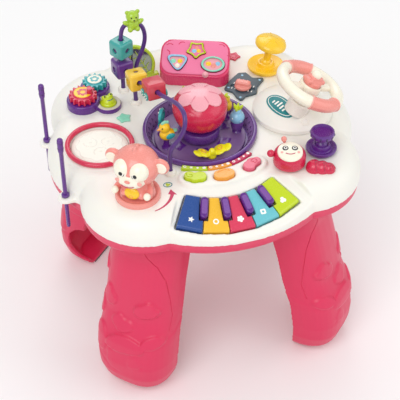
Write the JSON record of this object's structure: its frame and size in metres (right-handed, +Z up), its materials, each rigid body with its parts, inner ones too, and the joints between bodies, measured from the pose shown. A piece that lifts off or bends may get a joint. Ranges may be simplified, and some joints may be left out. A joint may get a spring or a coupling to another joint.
{
  "type": "musical activity table",
  "caption": "Free-standing musical activity table for toddlers: keyboard, drum, carousel, gears, bead maze, joysticks and steering wheel on a lobed top.",
  "frame": {"origin": "centre of the assembly's box at the floor, under the middle of the table top", "axes": "+Z up; -Y is the side with the keyboard; +X to the right of a child who sits at the keyboard"},
  "size_m": [0.3595, 0.344, 0.3786],
  "materials": {
    "ivory_shell": "glossy moulded ABS",
    "ivory_trim": "glossy moulded ABS",
    "crimson_case": "satin-gloss moulded ABS",
    "rubber_pads": "matt",
    "screw_steel": "zinc plated",
    "cell_sleeve": "plain sleeve",
    "speaker_cone": "matt",
    "board_green": "solder mask",
    "switch_black": "matt",
    "key_navy": "glossy",
    "key_yellow": "glossy",
    "key_pink": "glossy",
    "key_teal": "glossy",
    "key_lime": "glossy",
    "purple": "glossy",
    "lavender": "satin",
    "lime": "glossy",
    "orange": "glossy",
    "pink": "glossy",
    "pale_pink": "glossy",
    "crimson": "glossy",
    "drum_skin": "satin",
    "figures": "glossy, several colours",
    "salmon": "satin",
    "teal": "glossy",
    "wire_purple": "powder coated",
    "leaf_lime": "glossy frame with a plain mirror foil",
    "light_blue": "glossy",
    "mint": "glossy",
    "slate": "satin",
    "yellow": "glossy",
    "cream": "glossy",
    "wood_purple": "lacquered",
    "wood_teal": "lacquered",
    "wood_yellow": "lacquered",
    "wood_red": "lacquered",
    "wood_lime": "lacquered"
  },
  "bodies": {
    "table": {"top_shell": "ivory_shell", "under_tray": "crimson_case", "front_legs": "crimson_case", "rear_legs": "crimson_case", "foot_pads": "rubber_pads", "case_screws": "screw_steel", "battery_cover": "crimson_case", "batteries": "cell_sleeve", "speaker": "speaker_cone", "main_board": "board_green", "sharp_keys": "purple", "carousel_dish": "purple", "drum_ring": "crimson", "monkey_base": "ivory_trim", "gear_housing": "purple", "wire_tall": "wire_purple", "wire_low": "wire_purple", "wire_sockets": "ivory_trim", "leaf_mirror": "leaf_lime", "picture_box": "pink", "track_plate": "slate", "yellow_cup": "yellow", "purple_cup": "purple", "wheel_console": "ivory_trim", "worm_tail": "crimson", "star_studs": "mint"},
    "key_navy": {"key_navy": "key_navy"},
    "key_yellow": {"key_yellow": "key_yellow"},
    "key_pink": {"key_pink": "key_pink"},
    "key_teal": {"key_teal": "key_teal"},
    "key_lime": {"key_lime": "key_lime"},
    "button_lime": {"button_lime": "lime"},
    "button_orange": {"button_orange": "orange"},
    "button_pink": {"button_pink": "pink"},
    "carousel": {"turntable": "lavender", "carousel_figures": "figures"},
    "dome": {"dome": "crimson", "dome_cap": "pale_pink"},
    "drum_pad": {"drum_pad": "drum_skin"},
    "drumstick_front": {"drumstick_front": "purple"},
    "drumstick_rear": {"drumstick_rear": "purple"},
    "monkey": {"monkey": "salmon"},
    "gear_red": {"gear_red": "crimson"},
    "gear_teal": {"gear_teal": "teal"},
    "critter_button": {"critter_button": "lime"},
    "bead_purple": {"bead_purple": "wood_purple"},
    "bead_teal": {"bead_teal": "wood_teal"},
    "bead_bear": {"bead_bear": "wood_lime"},
    "bead_yellow": {"bead_yellow": "wood_yellow"},
    "bead_red": {"bead_red": "wood_red"},
    "star_button": {"star_button": "lime"},
    "pear_button": {"pear_button": "light_blue"},
    "oval_button": {"oval_button": "mint"},
    "track_slider": {"track_slider": "salmon"},
    "yellow_stick": {"yellow_stick": "yellow"},
    "purple_stick": {"purple_stick": "purple"},
    "steering_wheel": {"steering_wheel": "cream"},
    "horn_button": {"horn_button": "salmon"},
    "worm_head": {"worm_head": "crimson"},
    "power_switch": {"power_switch": "switch_black"}
  },
  "joints": [
    {"name": "key_navy_press", "type": "hinge", "parent": "table", "child": "key_navy", "pos_m": [-0.04435, -0.1171, 0.26578], "axis": [0.9078, -0.3889, -0.1571], "range_deg": [0, 3], "stiffness_Nm_per_rad": 0.2, "springref_deg": -2.86},
    {"name": "key_yellow_press", "type": "hinge", "parent": "table", "child": "key_yellow", "pos_m": [-0.0249, -0.12317, 0.26333], "axis": [0.9767, -0.1991, -0.0804], "range_deg": [0, 3], "stiffness_Nm_per_rad": 0.2, "springref_deg": -2.86},
    {"name": "key_pink_press", "type": "hinge", "parent": "table", "child": "key_pink", "pos_m": [-0.0045, -0.12522, 0.2625], "axis": [1, 0, 0], "range_deg": [0, 3], "stiffness_Nm_per_rad": 0.2, "springref_deg": -2.86},
    {"name": "key_teal_press", "type": "hinge", "parent": "table", "child": "key_teal", "pos_m": [0.0159, -0.12317, 0.26333], "axis": [0.9767, 0.1991, 0.0804], "range_deg": [0, 3], "stiffness_Nm_per_rad": 0.2, "springref_deg": -2.86},
    {"name": "key_lime_press", "type": "hinge", "parent": "table", "child": "key_lime", "pos_m": [0.03535, -0.1171, 0.26578], "axis": [0.9078, 0.3889, 0.1571], "range_deg": [0, 3], "stiffness_Nm_per_rad": 0.2, "springref_deg": -2.86},
    {"name": "button_lime_press", "type": "slide", "parent": "table", "child": "button_lime", "axis": [0, 0, -1], "range_m": [0, 0.0015], "stiffness_N_per_m": 400, "springref_m": -0.002},
    {"name": "button_orange_press", "type": "slide", "parent": "table", "child": "button_orange", "axis": [0, 0, -1], "range_m": [0, 0.0015], "stiffness_N_per_m": 400, "springref_m": -0.002},
    {"name": "button_pink_press", "type": "slide", "parent": "table", "child": "button_pink", "axis": [0, 0, -1], "range_m": [0, 0.0015], "stiffness_N_per_m": 400, "springref_m": -0.002},
    {"name": "carousel_spin", "type": "hinge", "parent": "table", "child": "carousel", "pos_m": [-0.00692, -0.01553, 0.27], "axis": [0, 0, 1], "continuous": true},
    {"name": "dome_press", "type": "slide", "parent": "table", "child": "dome", "axis": [0, 0, -1], "range_m": [0, 0.003], "stiffness_N_per_m": 600, "springref_m": -0.003},
    {"name": "drum_press", "type": "slide", "parent": "table", "child": "drum_pad", "axis": [0, 0, -1], "range_m": [0, 0.0015], "stiffness_N_per_m": 1500, "springref_m": -0.001},
    {"name": "drumstick_front_lift", "type": "slide", "parent": "table", "child": "drumstick_front", "axis": [0, 0, 1], "range_m": [0, 0.04]},
    {"name": "drumstick_rear_lift", "type": "slide", "parent": "table", "child": "drumstick_rear", "axis": [0, 0, 1], "range_m": [0, 0.04]},
    {"name": "monkey_spin", "type": "hinge", "parent": "table", "child": "monkey", "pos_m": [-0.10143, -0.09795, 0.27], "axis": [0, 0, 1], "continuous": true},
    {"name": "gear_red_spin", "type": "hinge", "parent": "table", "child": "gear_red", "pos_m": [-0.12149, 0.07156, 0.27], "axis": [0, 0, 1], "continuous": true},
    {"name": "gear_teal_spin", "type": "hinge", "parent": "table", "child": "gear_teal", "pos_m": [-0.10255, 0.09259, 0.27], "axis": [0, 0, 1], "continuous": true},
    {"name": "critter_press", "type": "slide", "parent": "table", "child": "critter_button", "axis": [0, 0, -1], "range_m": [0, 0.0015], "stiffness_N_per_m": 400, "springref_m": -0.002},
    {"name": "bead_purple_slide", "type": "slide", "parent": "table", "child": "bead_purple", "axis": [0, 0, 1], "range_m": [-0.018, 0]},
    {"name": "bead_teal_slide", "type": "slide", "parent": "table", "child": "bead_teal", "axis": [0, 0, 1], "range_m": [-0.005, 0.003]},
    {"name": "bead_bear_spin", "type": "hinge", "parent": "table", "child": "bead_bear", "pos_m": [-0.055, 0.086, 0.361], "axis": [0.9939, 0, -0.1104], "continuous": true},
    {"name": "bead_yellow_spin", "type": "hinge", "parent": "table", "child": "bead_yellow", "pos_m": [-0.064, 0.042, 0.315], "axis": [0.0819, -0.9831, 0.1638], "continuous": true},
    {"name": "bead_red_spin", "type": "hinge", "parent": "table", "child": "bead_red", "pos_m": [-0.0515, 0.0135, 0.3205], "axis": [0.1098, -0.9879, 0.1098], "continuous": true},
    {"name": "star_button_press", "type": "slide", "parent": "table", "child": "star_button", "axis": [0.1467, 0.363, -0.9202], "range_m": [0, 0.0015], "stiffness_N_per_m": 400, "springref_m": -0.002},
    {"name": "pear_button_press", "type": "slide", "parent": "table", "child": "pear_button", "axis": [0.1467, 0.363, -0.9202], "range_m": [0, 0.0015], "stiffness_N_per_m": 400, "springref_m": -0.002},
    {"name": "oval_button_press", "type": "slide", "parent": "table", "child": "oval_button", "axis": [0.1467, 0.363, -0.9202], "range_m": [0, 0.0015], "stiffness_N_per_m": 400, "springref_m": -0.002},
    {"name": "track_slide", "type": "slide", "parent": "table", "child": "track_slider", "axis": [0.8192, -0.5736, 0], "range_m": [-0.009, 0.009]},
    {"name": "yellow_stick_tilt", "type": "hinge", "parent": "table", "child": "yellow_stick", "pos_m": [0.1053, 0.07792, 0.279], "axis": [0.2924, 0.9563, 0], "range_deg": [-22, 2]},
    {"name": "purple_stick_tilt", "type": "hinge", "parent": "table", "child": "purple_stick", "pos_m": [0.11113, -0.0884, 0.279], "axis": [0, 1, 0], "range_deg": [-12, 12]},
    {"name": "wheel_turn", "type": "hinge", "parent": "table", "child": "steering_wheel", "pos_m": [0.10301, -0.03198, 0.291], "axis": [0.4174, -0.0661, 0.9063], "range_deg": [-90, 90]},
    {"name": "horn_press", "type": "slide", "parent": "steering_wheel", "child": "horn_button", "axis": [-0.4174, 0.0661, -0.9063], "range_m": [0, 0.002], "stiffness_N_per_m": 400, "springref_m": -0.002},
    {"name": "worm_press", "type": "slide", "parent": "table", "child": "worm_head", "axis": [0, 0, -1], "range_m": [0, 0.002], "stiffness_N_per_m": 500, "springref_m": -0.002},
    {"name": "power_switch_slide", "type": "slide", "parent": "table", "child": "power_switch", "axis": [1, 0, 0], "range_m": [0, 0.006]}
  ],
  "couplings": [
    {"joint": "gear_teal_spin", "follows": "gear_red_spin", "ratio": -1.1538}
  ]
}
